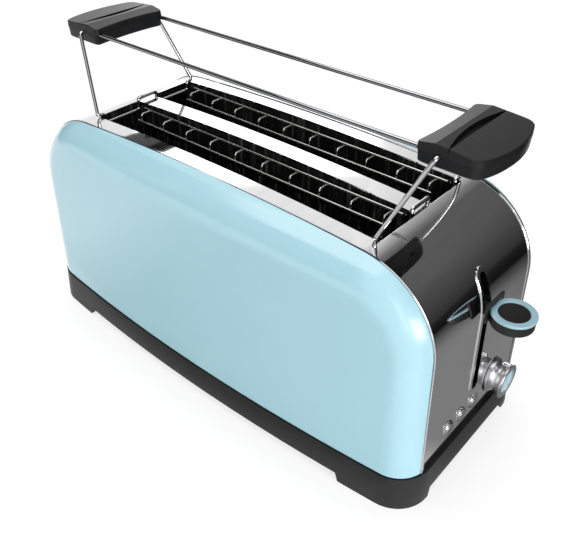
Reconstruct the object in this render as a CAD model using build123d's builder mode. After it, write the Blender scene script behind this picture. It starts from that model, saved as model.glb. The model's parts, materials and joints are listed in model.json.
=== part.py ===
import math
import os
from build123d import *

# Retro long-slot toaster with a lift-off bun rack, millimetres, +Z up
# Origin: centre of the footprint on the surface it stands on
# +X points to the end with the lever and knob, -Y is the front panel

os.makedirs("parts", exist_ok=True)

# Body outline seen from the front
TOP_Z = 188.0            # crown of the steel top
ARCH_R = 2420.0          # gentle crown of the top
SHOULDER_R = 60.0        # big shoulder at each end
SLOT_L = 270.0           # length of the bread slots
END_ROOM = 57.6          # from the end of a slot to the steel at END_Z
END_X = SLOT_L / 2 + END_ROOM   # half length of the steel at END_Z
END_Z = 34.0
END_SLOPE = 0.04         # the ends widen a little downwards
STEEL_T = 0.8
STEEL_Y = 60.3           # half width of the steel band
STEEL_Z0 = 36.5          # lower edge of the steel band

# Base
BASE_A0 = SLOT_L / 2 + 62.3   # half length at the bottom
BASE_A1 = END_X + 2.5    # half length at the top
BASE_Y0 = 91.9           # half depth at the middle, bottom
BASE_Y1 = 90.4           # half depth at the middle, top
BOW_R = 1747.0           # bow of the front and rear faces seen from above
BASE_RC = 27.6
BASE_WALL = 2.5
FOOT_Z = 0.6             # plastic foot underside, the pads stand below it
UNDER_Z = 8.0            # underside between the feet
FLOOR_Z = 10.5
LEDGE_Z = 29.0
STEP_Z = 30.0
DECK_Z = 27.0
FOOT_X = END_X - 53.1    # feet start here along X
FOOT_Y = 52.0            # and here along Y
RIM_Z = 39.5             # top of the rims that stand inside the steel
PAD_X = END_X - 16.6
PAD_Y = 66.0
PAD_R = 8.0

# Panels and trims
SEAM_Y = 63.1            # panel starts here
PANEL_T = 2.2
PANEL_R = 24.0
PANEL_Y0 = 89.3          # half depth of the panel face at the bottom
PANEL_Y1 = 86.2          # and at the top
TRIM_Y0 = STEEL_Y + 0.1
TRIM_Y1 = SEAM_Y - 0.2
TRIM_OUT = 0.8

# Bread slots
SLOT_Y0 = 7.4
SLOT_Y1 = 48.5
SLOT_W = SLOT_Y1 - SLOT_Y0
SLOT_C = (SLOT_Y0 + SLOT_Y1) / 2
SLOT_R = 5.0

# Chassis
PLATE_X = SLOT_L / 2 + 7.0   # inner face of each end plate
PLATE_T = 1.0
PLATE_Y = 56.0
PLATE_Z0 = 22.0
PLATE_Z1 = TOP_Z - 7.0
FRAME_T = 1.0            # slot frame sheet
LINER_T = 0.8
LINER_GAP = 0.4
LINER_Z0 = TOP_Z - 23.0
SHIELD_Y = PLATE_Y - 1.6
SHIELD_Z0 = PLATE_Z0 + 12.0
SHIELD_Z1 = TOP_Z - 16.0
BOARD_Z0 = 46.0
BOARD_Z1 = TOP_Z - 28.0
BOARD_T = 0.8
BOARD_Y = [-50.5, -4.5, 4.5, 50.5]

# Bread guides: rail Y, upright Y for each one
RAIL_Z = TOP_Z - 7.0
RAIL_R = 1.0
GUIDE_Y = [(-47.2, -42.5), (-8.9, -19.0), (8.9, 13.5), (46.5, 35.0)]
GUIDE_N = 10
GUIDE_WIRE_R = 0.8
TAB_X = SLOT_L / 2 - 8.5
GUIDE_PITCH = 2 * (TAB_X - 8.6) / (GUIDE_N - 1)
TAB_T = 1.0
RAIL_L = TAB_X + TAB_T + 0.7
GUIDE_HALF = (GUIDE_N - 1) / 2 * GUIDE_PITCH + 3.1

# Carriage and lever
LIFT_Y = [-31.2, 23.6]
LIFT_HALF = 4.2
LIFT_Z = TOP_Z - 70.0
LIFT_LOW = 58.0          # the lifts at their lowest
TRAVEL_DOWN = LIFT_Z - LIFT_LOW
TRAVEL_UP = 18.0
ROD_X = PLATE_X + 14.0
ROD_Y = 12.0
ROD_R = 2.5
ROD_FIT = 0.06
STEM_Z0 = LIFT_Z + 10.5
STEM_Z1 = STEM_Z0 + 8.0
STEM_HALF = 2.7
SLIT_HALF = 3.4
SLIT_Z0 = STEM_Z0 - TRAVEL_DOWN - 6.9
SLIT_Z1 = STEM_Z1 + TRAVEL_UP + 2.5
BEZEL_OUT = 0.9          # rim height over the steel
BEZEL_W = 2.8            # rim width beside the slit
LEVER_PLATE_X = END_X    # inner face of the plate behind the knob
LEVER_PLATE_T = 1.6
LEVER_PLATE_HALF = 11.3
LEVER_PLATE_Z0 = STEM_Z0
LEVER_PLATE_Z1 = STEM_Z0 + 14.0
LEVER_X = END_X + 14.2
LEVER_R = 14.6
LEVER_Z0 = STEM_Z0 + 1.1
LEVER_Z1 = LEVER_Z0 + 7.3
LEVER_TOP = LEVER_Z1 + 1.6
LEVER_DISC_R = 9.9

# End controls
DIAL_Y = 32.4
DIAL_Z = 50.6
DIAL_R = 13.4            # front rim of the knob
DIAL_WAIST = 10.2
DIAL_X0 = END_X + 0.3    # back of the knob
DIAL_X1 = DIAL_X0 + 11.1  # front of the knob
SHAFT_R = 2.95
BUTTON_Y = [-30.0, -13.0, 4.0]
BUTTON_Z = 46.0
BUTTON_R = 5.0
RING_R = 6.1             # flange of the button rings
BOARD_DEPTH = 10.9       # board face behind the steel
BOARD_HALF = 48.0
BOARD_SCREW_Y = 43.5
BOARD_SCREW_Z = [43.0, 73.0]

# Rack
RACK_Z = TOP_Z + 54.4    # wire centres and handle parting plane
RACK_WIRE_R = 1.5
RACK_WIRE_Y = 29.8
WIRE_GRIP = 6.5          # length of each wire end inside a handle
HANDLE_X0 = SLOT_L / 2 + 6.5
HANDLE_X1 = HANDLE_X0 + 46.5
HANDLE_Y = 33.6
HANDLE_Z0 = RACK_Z - 7.6
RIDGE_X = HANDLE_X0 + 12.2
RIDGE_Z = RACK_Z + 6.5
STEP_X = HANDLE_X0 + 21.1   # straight edge of the crescent step
STEP_MID = HANDLE_X0 + 15.4   # middle of its arc
STEP_FLOOR = RACK_Z + 2.8
LEG_TOP_X = HANDLE_X0 + 16.0
LEG_BOT_X = SLOT_L / 2 - 3.0
LEG_TOP_Y = 37.0
LEG_BOT_Y = SLOT_Y1 + 2.1

# Derived shape of the steel outline
norm = math.hypot(1.0, END_SLOPE)
NX = 1.0 / norm
NZ = END_SLOPE / norm
ARCH_CZ = TOP_Z - ARCH_R
end_d = END_X * NX + END_Z * NZ
SC_X = 130.0
SC_Z = 125.0
for step in range(40):
    SC_Z = ARCH_CZ + math.sqrt((ARCH_R - SHOULDER_R) ** 2 - SC_X ** 2)
    SC_X = (end_d - SHOULDER_R - SC_Z * NZ) / NX


def arch_z(x, inset=0.0):
    return ARCH_CZ + math.sqrt((ARCH_R - inset) ** 2 - x * x)


def end_x(z, inset=0.0):
    return (end_d - inset - z * NZ) / NX


BOARD_X = end_x(DIAL_Z) - BOARD_DEPTH


def shoulder_x(z):
    if z < SC_Z + SHOULDER_R * NZ:
        return end_x(z)
    return SC_X + math.sqrt(SHOULDER_R ** 2 - (z - SC_Z) ** 2)


def bow(x):
    return BOW_R - math.sqrt(BOW_R * BOW_R - x * x)


def arch_face(inset, z0):
    r = SHOULDER_R - inset
    ux = SC_X / (ARCH_R - SHOULDER_R)
    uz = (SC_Z - ARCH_CZ) / (ARCH_R - SHOULDER_R)
    t1 = (SC_X + r * ux, SC_Z + r * uz)
    mid_a = (math.atan2(uz, ux) + math.atan2(NZ, NX)) / 2
    ms = (SC_X + r * math.cos(mid_a), SC_Z + r * math.sin(mid_a))
    t2 = (SC_X + r * NX, SC_Z + r * NZ)
    b = (end_x(z0, inset), z0)
    with BuildSketch() as profile:
        with BuildLine():
            ThreePointArc((-t1[0], t1[1]), (0, TOP_Z - inset), t1)
            ThreePointArc(t1, ms, t2)
            Line(t2, b)
            Line(b, (-b[0], b[1]))
            Line((-b[0], b[1]), (-t2[0], t2[1]))
            ThreePointArc((-t2[0], t2[1]), (-ms[0], ms[1]), (-t1[0], t1[1]))
        make_face()
    return profile.sketch


def base_face(a, y, rc):
    ye = y - bow(a)
    with BuildSketch() as outline:
        with BuildLine():
            ThreePointArc((-a, -ye), (0, -y), (a, -ye))
            Line((a, -ye), (a, ye))
            ThreePointArc((a, ye), (0, y), (-a, ye))
            Line((-a, ye), (-a, -ye))
        make_face()
        fillet(outline.vertices(), rc)
    return outline.sketch


def front_slab(y, x):
    ye = y - bow(x)
    with BuildSketch() as slab:
        with BuildLine():
            ThreePointArc((-x, -ye), (0, -y), (x, -ye))
            Line((x, -ye), (x, -10))
            Line((x, -10), (-x, -10))
            Line((-x, -10), (-x, -ye))
        make_face()
    return slab.sketch


def half_y(y, z):
    k = (z - STEP_Z) / (TOP_Z - STEP_Z)
    return y + (PANEL_Y1 - PANEL_Y0) * k


def base_scale(z):
    k = z / STEP_Z
    return BASE_A0 + (BASE_A1 - BASE_A0) * k, BASE_Y0 + (BASE_Y1 - BASE_Y0) * k


# Envelope of the steel, used to seat the fittings on it
with BuildPart() as envelope:
    with BuildSketch(Plane.XZ.offset(-80)):
        add(arch_face(0.0, 20.0))
    extrude(amount=160)

# Inner envelope, the room under the steel
with BuildPart() as envelope_in:
    with BuildSketch(Plane.XZ.offset(-80)):
        add(arch_face(STEEL_T, 20.0))
    extrude(amount=160)

# Black plastic base with its four feet
POST_X = END_X - 37.6
foot_posts = [(POST_X, 77.5), (-POST_X, 77.5), (POST_X, -77.5), (-POST_X, -77.5)]
centre_posts = [(0.0, -83.5)]
FLANGE_X = PLATE_X + 7.0
chassis_posts = [(FLANGE_X, 48.0), (-FLANGE_X, 48.0), (FLANGE_X, -48.0), (-FLANGE_X, -48.0)]
board_holes = [(y, z) for y in (-BOARD_SCREW_Y, BOARD_SCREW_Y) for z in BOARD_SCREW_Z]
pad_spots = [(PAD_X, PAD_Y), (-PAD_X, PAD_Y), (PAD_X, -PAD_Y), (-PAD_X, -PAD_Y)]
TRAY_HALF = PLATE_X - 10.0
with BuildPart() as base:
    a0, y0 = base_scale(FOOT_Z)
    with BuildSketch(Plane.XY.offset(FOOT_Z)):
        add(base_face(a0, y0, BASE_RC))
    a1, y1 = base_scale(LEDGE_Z)
    with BuildSketch(Plane.XY.offset(LEDGE_Z)):
        add(base_face(a1, y1, BASE_RC))
    loft(ruled=True)
    with BuildSketch(Plane.XY.offset(LEDGE_Z)):
        add(base_face(a1 - 2.2, y1 - 2.2, BASE_RC - 2.2))
    extrude(amount=STEP_Z - LEDGE_Z)
    # raise the underside between the feet
    with BuildSketch(Plane.XZ.offset(-120)):
        with BuildLine():
            Polyline((-FOOT_X - 3, -1), (FOOT_X + 3, -1), (FOOT_X, UNDER_Z), (-FOOT_X, UNDER_Z), close=True)
        make_face()
    extrude(amount=240, mode=Mode.SUBTRACT)
    with BuildSketch(Plane.YZ.offset(-220)):
        with BuildLine():
            Polyline((-FOOT_Y - 3, -1), (FOOT_Y + 3, -1), (FOOT_Y, UNDER_Z), (-FOOT_Y, UNDER_Z), close=True)
        make_face()
    extrude(amount=440, mode=Mode.SUBTRACT)
    # hollow inside
    with BuildSketch(Plane.XY.offset(FLOOR_Z)):
        add(base_face(a0 - BASE_WALL, y0 - BASE_WALL, BASE_RC - BASE_WALL))
    with BuildSketch(Plane.XY.offset(DECK_Z)):
        add(base_face(a1 - BASE_WALL, y1 - BASE_WALL, BASE_RC - BASE_WALL))
    loft(ruled=True, mode=Mode.SUBTRACT)
    with BuildSketch(Plane.XY.offset(DECK_Z - 1)):
        add(base_face(a1 - 10.5, y1 - 10.5, BASE_RC - 8))
    extrude(amount=10, mode=Mode.SUBTRACT)
    # locating rims that stand inside the steel at both ends
    with BuildSketch(Plane.XZ.offset(-59.0)):
        add(arch_face(STEEL_T + 0.15, LEDGE_Z - 0.5))
        with Locations((0, RIM_Z + 100)):
            Rectangle(500, 200, mode=Mode.SUBTRACT)
        Rectangle(2 * (END_X - 3.2), 200, mode=Mode.SUBTRACT)
    extrude(amount=118.0)
    # posts for the panel screws, the chassis, the board and the guide rods
    with BuildSketch(Plane.XY.offset(FLOOR_Z - 1)):
        with Locations(*foot_posts, *centre_posts):
            Circle(5.0)
    extrude(amount=DECK_Z - FLOOR_Z + 2)
    with BuildSketch(Plane.XY.offset(FLOOR_Z - 1)):
        with Locations(*chassis_posts):
            Circle(4.5)
        with Locations((ROD_X + 4.0, 0)):
            Rectangle(20, 20)
    extrude(amount=PLATE_Z0 - FLOOR_Z + 1)
    with BuildSketch(Plane.XY.offset(FLOOR_Z - 1)):
        with Locations((BOARD_X - 2.0, -BOARD_SCREW_Y), (BOARD_X - 2.0, BOARD_SCREW_Y)):
            Rectangle(4.0, 7.0)
    extrude(amount=BOARD_SCREW_Z[1] + 3.0 - FLOOR_Z)
    # screw bores from below
    with BuildSketch(Plane.XY.offset(-1)):
        with Locations(*foot_posts, *centre_posts):
            Circle(3.6)
    extrude(amount=25.2, mode=Mode.SUBTRACT)
    with BuildSketch(Plane.XY.offset(20)):
        with Locations(*foot_posts, *centre_posts):
            Circle(1.75)
    extrude(amount=15, mode=Mode.SUBTRACT)
    with BuildSketch(Plane.XY.offset(13)):
        with Locations(*chassis_posts):
            Circle(1.55)
    extrude(amount=15, mode=Mode.SUBTRACT)
    with Locations(*[(BOARD_X, y, z) for y, z in board_holes]):
        Cylinder(1.3, 10.0, rotation=(0, 90, 0), mode=Mode.SUBTRACT)
    # pad recesses under the feet
    with BuildSketch(Plane.XY.offset(-1)):
        with Locations(*pad_spots):
            Circle(PAD_R + 0.1)
    extrude(amount=3.6, mode=Mode.SUBTRACT)
    # opening for the crumb tray in the rear wall
    with Locations((0, 85, 16.75)):
        Box(2 * TRAY_HALF, 30, 12.5, mode=Mode.SUBTRACT)
    # gland hole for the cord in the rear wall, and air slits in the floor
    with Locations((-TRAY_HALF - 9.0, 84, 18)):
        Cylinder(4.5, 30, rotation=(90, 0, 0), mode=Mode.SUBTRACT)
    with BuildSketch(Plane.XY.offset(UNDER_Z - 1)):
        with Locations((0, -74)):
            with GridLocations(16, 1, 7, 1):
                SlotOverall(10, 3, rotation=90)
        with Locations((-80, -74), (80, -74)):
            with GridLocations(16, 1, 3, 1):
                SlotOverall(10, 3, rotation=90)
    extrude(amount=4, mode=Mode.SUBTRACT)
base.part.label = "base"
export_step(base.part, "parts/base.step")

# Rubber pads under the feet
with BuildPart() as foot_pads:
    with Locations(*[(x, y, 1.3) for x, y in pad_spots]):
        Cylinder(PAD_R, 2.6)
    chamfer(foot_pads.faces().filter_by(Axis.Z).sort_by(Axis.Z)[0:4].edges(), 0.6)
foot_pads.part.label = "foot_pads"
export_step(foot_pads.part, "parts/foot_pads.step")

# Screws that hold the panels, heads up inside the post bores
with BuildPart() as panel_screws:
    with Locations(*[(x, y, 22.0) for x, y in foot_posts + centre_posts]):
        Cylinder(3.0, 2.2, align=(Align.CENTER, Align.CENTER, Align.MIN))
    with Locations(*[(x, y, 24.2) for x, y in foot_posts + centre_posts]):
        Cylinder(1.5, 16.0, align=(Align.CENTER, Align.CENTER, Align.MIN))
    with Locations(*[(x, y, 22.0) for x, y in foot_posts + centre_posts]):
        Box(3.4, 0.7, 1.6, mode=Mode.SUBTRACT)
        Box(0.7, 3.4, 1.6, mode=Mode.SUBTRACT)
panel_screws.part.label = "panel_screws"
export_step(panel_screws.part, "parts/panel_screws.step")

# Polished steel band: one sheet over the top and down both ends
BUSH_R = 6.9
with BuildPart() as steel_band:
    with BuildSketch(Plane.XZ.offset(-STEEL_Y)):
        add(arch_face(0.0, STEEL_Z0))
    extrude(amount=2 * STEEL_Y)
    with BuildSketch(Plane.XZ.offset(-STEEL_Y - 1)):
        add(arch_face(STEEL_T, STEEL_Z0 - 5))
    extrude(amount=2 * STEEL_Y + 2, mode=Mode.SUBTRACT)
    with BuildSketch(Plane.XY.offset(TOP_Z - 38)):
        with Locations((0, -SLOT_C), (0, SLOT_C)):
            RectangleRounded(SLOT_L, SLOT_W, SLOT_R)
    extrude(amount=50, mode=Mode.SUBTRACT)
    slit_mid = (SLIT_Z0 + SLIT_Z1) / 2
    slit_len = SLIT_Z1 - SLIT_Z0 + 1.6
    with BuildSketch(Plane.YZ.offset(END_X - 42.6)):
        with Locations((0, slit_mid)):
            SlotOverall(slit_len, 2 * (SLIT_HALF + 0.8), rotation=90)
        with Locations((DIAL_Y, DIAL_Z)):
            Circle(BUSH_R + 0.1)
        with Locations(*[(y, BUTTON_Z) for y in BUTTON_Y]):
            Circle(BUTTON_R + 0.7)
    extrude(amount=60, mode=Mode.SUBTRACT)
steel_band.part.label = "steel_band"
export_step(steel_band.part, "parts/steel_band.step")

# Front panel: outer shape, then the hollow, then the screw bosses
front_bosses = foot_posts[2:] + centre_posts
PANEL_TOP = TOP_Z + 12.0   # the slab ends above the steel's crown
with BuildPart() as panel_outer:
    with BuildSketch(Plane.XZ.offset(20)):
        add(arch_face(-TRIM_OUT + 0.1, 10.0))
    extrude(amount=100)
    with BuildSketch(Plane.XY.offset(0)):
        add(front_slab(half_y(PANEL_Y0, 0), 240))
    with BuildSketch(Plane.XY.offset(PANEL_TOP)):
        add(front_slab(half_y(PANEL_Y0, PANEL_TOP), 240))
    loft(ruled=True, mode=Mode.INTERSECT)
    face = panel_outer.faces().sort_by(Axis.Y)[0]
    rim = face.edges().filter_by(lambda e: e.center().Z > 20)
    fillet(rim, PANEL_R)
    with Locations((0, 0, 0)):
        Box(500, 2 * SEAM_Y, 500, mode=Mode.SUBTRACT)
        Box(500, 500, 2 * STEP_Z, mode=Mode.SUBTRACT)

with BuildPart() as panel_inner:
    with BuildSketch(Plane.XZ.offset(20)):
        add(arch_face(-TRIM_OUT + 0.1 + PANEL_T, 10.0))
    extrude(amount=100)
    with BuildSketch(Plane.XY.offset(0)):
        add(front_slab(half_y(PANEL_Y0, 0) - PANEL_T, 240))
    with BuildSketch(Plane.XY.offset(PANEL_TOP)):
        add(front_slab(half_y(PANEL_Y0, PANEL_TOP) - PANEL_T, 240))
    loft(ruled=True, mode=Mode.INTERSECT)
    face = panel_inner.faces().sort_by(Axis.Y)[0]
    rim = face.edges().filter_by(lambda e: e.center().Z > 20)
    fillet(rim, PANEL_R - PANEL_T)

with BuildPart() as front_panel:
    add(panel_outer.part)
    add(panel_inner.part, mode=Mode.SUBTRACT)
    with BuildSketch(Plane.XY.offset(STEP_Z)):
        with Locations(*front_bosses):
            Circle(4.6)
    extrude(amount=16)
    add(panel_outer.part, mode=Mode.INTERSECT)
    with BuildSketch(Plane.XY.offset(STEP_Z)):
        with Locations(*front_bosses):
            Circle(1.55)
    extrude(amount=12, mode=Mode.SUBTRACT)
front_panel.part.label = "front_panel"
export_step(front_panel.part, "parts/front_panel.step")

# Rear panel: the same shell mirrored, without the middle boss
with BuildPart() as rear_panel:
    add(panel_outer.part)
    add(panel_inner.part, mode=Mode.SUBTRACT)
    with BuildSketch(Plane.XY.offset(STEP_Z)):
        with Locations(*front_bosses[:2]):
            Circle(4.6)
    extrude(amount=16)
    add(panel_outer.part, mode=Mode.INTERSECT)
    with BuildSketch(Plane.XY.offset(STEP_Z)):
        with Locations(*front_bosses[:2]):
            Circle(1.55)
    extrude(amount=12, mode=Mode.SUBTRACT)
rear_shell = mirror(rear_panel.part, about=Plane.XZ)
rear_shell.label = "rear_panel"
export_step(rear_shell, "parts/rear_panel.step")

# Bright trim strips in the seams between the steel and the panels
with BuildPart() as front_trim:
    with BuildSketch(Plane.XZ.offset(TRIM_Y0)):
        add(arch_face(-TRIM_OUT, STEP_Z))
    extrude(amount=TRIM_Y1 - TRIM_Y0)
    top_edges = front_trim.edges().filter_by(lambda e: e.center().Z > STEP_Z + 5)
    chamfer(top_edges, 0.5)
    with BuildSketch(Plane.XZ.offset(TRIM_Y0 - 1)):
        add(arch_face(1.6, STEP_Z - 5))
    extrude(amount=TRIM_Y1 - TRIM_Y0 + 2, mode=Mode.SUBTRACT)
front_trim.part.label = "front_trim"
export_step(front_trim.part, "parts/front_trim.step")

rear_strip = mirror(front_trim.part, about=Plane.XZ)
rear_strip.label = "rear_trim"
export_step(rear_strip, "parts/rear_trim.step")

# Chrome rim round the lever slit, proud of the steel and reaching through it
with BuildPart() as bezel_lip:
    with BuildSketch(Plane.XZ.offset(-20)):
        add(arch_face(-BEZEL_OUT, 40))
    extrude(amount=40)
    with BuildSketch(Plane.YZ.offset(120)):
        with Locations((0, slit_mid)):
            SlotOverall(SLIT_Z1 - SLIT_Z0 + 2 * BEZEL_W, 2 * (SLIT_HALF + BEZEL_W), rotation=90)
    extrude(amount=100, mode=Mode.INTERSECT)
    lip_edges = bezel_lip.edges()
    lip_edges = lip_edges.filter_by(lambda e: abs(e.tangent_at(0.5).Y) < 0.9 or e.geom_type != GeomType.LINE)
    lip_edges = lip_edges.filter_by(lambda e: e.center().X > shoulder_x(e.center().Z) + 0.5 * BEZEL_OUT)
    fillet(lip_edges, 0.6)
    add(envelope.part, mode=Mode.SUBTRACT)

with BuildPart() as bezel_sleeve:
    with BuildSketch(Plane.XZ.offset(-20)):
        add(arch_face(-0.6, 40))
    extrude(amount=40)
    with BuildSketch(Plane.XZ.offset(-30)):
        add(arch_face(STEEL_T + 1.2, 30))
    extrude(amount=60, mode=Mode.SUBTRACT)
    with BuildSketch(Plane.YZ.offset(120)):
        with Locations((0, slit_mid)):
            SlotOverall(slit_len - 0.2, 2 * SLIT_HALF + 1.4, rotation=90)
    extrude(amount=100, mode=Mode.INTERSECT)

with BuildPart() as slit_bezel:
    add(bezel_lip.part)
    add(bezel_sleeve.part)
    with BuildSketch(Plane.YZ.offset(100)):
        with Locations((0, slit_mid)):
            SlotOverall(SLIT_Z1 - SLIT_Z0, 2 * SLIT_HALF, rotation=90)
    extrude(amount=120, mode=Mode.SUBTRACT)
slit_bezel.part.label = "slit_bezel"
export_step(slit_bezel.part, "parts/slit_bezel.step")

# Slot frame: black sheet under the steel with a liner round each slot
liner_l = SLOT_L + 2 * LINER_GAP
liner_w = SLOT_W + 2 * LINER_GAP
with BuildPart() as slot_frame:
    with BuildSketch(Plane.XZ.offset(-58.0)):
        add(arch_face(STEEL_T, TOP_Z - 88.0))
    extrude(amount=116.0)
    with BuildSketch(Plane.XZ.offset(-59.0)):
        add(arch_face(STEEL_T + FRAME_T, TOP_Z - 98.0))
    extrude(amount=118.0, mode=Mode.SUBTRACT)
    with Locations((0, 0, TOP_Z - 38)):
        Box(2 * (PLATE_X + PLATE_T + 1.0), 130, 100, mode=Mode.INTERSECT)
    with BuildSketch(Plane.XY.offset(LINER_Z0)):
        with Locations((0, -SLOT_C), (0, SLOT_C)):
            RectangleRounded(liner_l + 2 * LINER_T, liner_w + 2 * LINER_T, SLOT_R + LINER_T)
    extrude(amount=30)
    with BuildSketch(Plane.XY.offset(LINER_Z0 - 1)):
        with Locations((0, -SLOT_C), (0, SLOT_C)):
            RectangleRounded(liner_l, liner_w, SLOT_R)
    extrude(amount=40, mode=Mode.SUBTRACT)
    # hinge tabs for the bread guides
    for rail_y, up_y in GUIDE_Y:
        wall_y = SLOT_Y1 + LINER_GAP if abs(rail_y) > SLOT_C else SLOT_Y0 - LINER_GAP
        wall_y = math.copysign(wall_y, rail_y)
        tip_y = rail_y + math.copysign(2.2, rail_y - wall_y)
        tab_y = (wall_y + tip_y) / 2
        with Locations((TAB_X + TAB_T / 2, tab_y, RAIL_Z - 0.6), (-TAB_X - TAB_T / 2, tab_y, RAIL_Z - 0.6)):
            Box(TAB_T, abs(wall_y - tip_y), 5.2)
    for rail_y, up_y in GUIDE_Y:
        with Locations((TAB_X + TAB_T / 2, rail_y, RAIL_Z), (-TAB_X - TAB_T / 2, rail_y, RAIL_Z)):
            Cylinder(RAIL_R + 0.07, TAB_T + 1.0, rotation=(0, 90, 0), mode=Mode.SUBTRACT)
    add(envelope_in.part, mode=Mode.INTERSECT)
slot_frame.part.label = "slot_frame"
export_step(slot_frame.part, "parts/slot_frame.step")

# Chassis end plates with slits for the lifts and for the heater boards
board_slit_z = (BOARD_Z0 + BOARD_Z1) / 2
lift_slit_z0 = LIFT_Z - 9.6 - TRAVEL_DOWN - 2.0
lift_slit_z1 = LIFT_Z + TRAVEL_UP + 3.0
with BuildPart() as end_plate_right:
    with Locations((PLATE_X + PLATE_T / 2, 0, (PLATE_Z0 + PLATE_Z1) / 2)):
        Box(PLATE_T, 2 * PLATE_Y, PLATE_Z1 - PLATE_Z0)
    with Locations((PLATE_X + 6.5, 0, PLATE_Z0 + 0.5)):
        Box(13.0, 2 * PLATE_Y, 1.0)
    with Locations(*[(PLATE_X, y, (lift_slit_z0 + lift_slit_z1) / 2) for y in LIFT_Y]):
        Box(6, 3.0, lift_slit_z1 - lift_slit_z0, mode=Mode.SUBTRACT)
    with Locations(*[(PLATE_X, y, board_slit_z) for y in BOARD_Y]):
        Box(6, BOARD_T + 0.3, BOARD_Z1 - BOARD_Z0 - 39.4, mode=Mode.SUBTRACT)
    with Locations(*[(x, y, PLATE_Z0) for x, y in chassis_posts if x > 0]):
        Cylinder(1.75, 6, mode=Mode.SUBTRACT)
end_plate_right.part.label = "end_plate_right"
export_step(end_plate_right.part, "parts/end_plate_right.step")

end_left = mirror(end_plate_right.part, about=Plane.YZ)
end_left.label = "end_plate_left"
export_step(end_left, "parts/end_plate_left.step")

with BuildPart() as chassis_screws:
    with Locations(*[(x, y, PLATE_Z0 + 1.0) for x, y in chassis_posts]):
        Cylinder(2.8, 2.0, align=(Align.CENTER, Align.CENTER, Align.MIN))
    with Locations(*[(x, y, 14.0) for x, y in chassis_posts]):
        Cylinder(1.5, 9.2, align=(Align.CENTER, Align.CENTER, Align.MIN))
    with Locations(*[(x, y, PLATE_Z0 + 2.0) for x, y in chassis_posts]):
        Box(3.4, 0.7, 2.4, mode=Mode.SUBTRACT)
        Box(0.7, 3.4, 2.4, mode=Mode.SUBTRACT)
chassis_screws.part.label = "chassis_screws"
export_step(chassis_screws.part, "parts/chassis_screws.step")

# Heat shields along the front and rear of the oven
with BuildPart() as heat_shields:
    shield_z = (SHIELD_Z0 + SHIELD_Z1) / 2
    with Locations((0, SHIELD_Y, shield_z), (0, -SHIELD_Y, shield_z)):
        Box(2 * PLATE_X, 0.8, SHIELD_Z1 - SHIELD_Z0)
heat_shields.part.label = "heat_shields"
export_step(heat_shields.part, "parts/heat_shields.step")

# Mica heater boards, each with end tabs held in the end plates
with BuildPart() as heater_board_front:
    with Locations((0, BOARD_Y[0], board_slit_z)):
        Box(2 * PLATE_X - 0.4, BOARD_T, BOARD_Z1 - BOARD_Z0)
        Box(2 * PLATE_X + 3.0, BOARD_T, BOARD_Z1 - BOARD_Z0 - 40.0)
heater_board_front.part.label = "heater_board_front"
export_step(heater_board_front.part, "parts/heater_board_front.step")

with BuildPart() as heater_board_mid_front:
    with Locations((0, BOARD_Y[1], board_slit_z)):
        Box(2 * PLATE_X - 0.4, BOARD_T, BOARD_Z1 - BOARD_Z0)
        Box(2 * PLATE_X + 3.0, BOARD_T, BOARD_Z1 - BOARD_Z0 - 40.0)
heater_board_mid_front.part.label = "heater_board_mid_front"
export_step(heater_board_mid_front.part, "parts/heater_board_mid_front.step")

with BuildPart() as heater_board_mid_rear:
    with Locations((0, BOARD_Y[2], board_slit_z)):
        Box(2 * PLATE_X - 0.4, BOARD_T, BOARD_Z1 - BOARD_Z0)
        Box(2 * PLATE_X + 3.0, BOARD_T, BOARD_Z1 - BOARD_Z0 - 40.0)
heater_board_mid_rear.part.label = "heater_board_mid_rear"
export_step(heater_board_mid_rear.part, "parts/heater_board_mid_rear.step")

with BuildPart() as heater_board_rear:
    with Locations((0, BOARD_Y[3], board_slit_z)):
        Box(2 * PLATE_X - 0.4, BOARD_T, BOARD_Z1 - BOARD_Z0)
        Box(2 * PLATE_X + 3.0, BOARD_T, BOARD_Z1 - BOARD_Z0 - 40.0)
heater_board_rear.part.label = "heater_board_rear"
export_step(heater_board_rear.part, "parts/heater_board_rear.step")

# Flat resistance ribbon, upright runs on the bread side of every board
RIBBON_N = 18
RIBBON_PITCH = (SLOT_L - 32.0) / (RIBBON_N - 1)
ribbon_face = [BOARD_Y[0] + BOARD_T / 2 + 0.15, BOARD_Y[1] - BOARD_T / 2 - 0.15]
ribbon_face += [BOARD_Y[2] + BOARD_T / 2 + 0.15, BOARD_Y[3] - BOARD_T / 2 - 0.15]
with BuildPart() as heater_ribbons:
    for ry in ribbon_face:
        with Locations((0, ry, board_slit_z)):
            with GridLocations(RIBBON_PITCH, 1, RIBBON_N, 1):
                Box(1.2, 0.3, BOARD_Z1 - BOARD_Z0 - 8)
heater_ribbons.part.label = "heater_ribbons"
export_step(heater_ribbons.part, "parts/heater_ribbons.step")

# Bread guides: a hinged top rail, hooked uprights, a front rail and a bottom rail
guide_xs = [(i - (GUIDE_N - 1) / 2) * GUIDE_PITCH for i in range(GUIDE_N)]
GUIDE_FRONT_Z = RAIL_Z - 5.0
GUIDE_BOTTOM_Z = BOARD_Z0 + 6.0
BAND = GUIDE_WIRE_R * 2 - 0.1


def guide_wire(rail_y, up_y, x):
    with BuildPart() as wire:
        d = math.copysign(1.0, up_y - rail_y)
        with BuildLine() as path:
            FilletPolyline((x, rail_y, RAIL_Z), (x, up_y, RAIL_Z), (x, up_y, GUIDE_BOTTOM_Z - 2), radius=2.0)
        with BuildSketch(Plane(origin=(x, rail_y, RAIL_Z), z_dir=(0, d, 0))):
            Circle(GUIDE_WIRE_R)
        sweep()
    return wire.part


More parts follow.
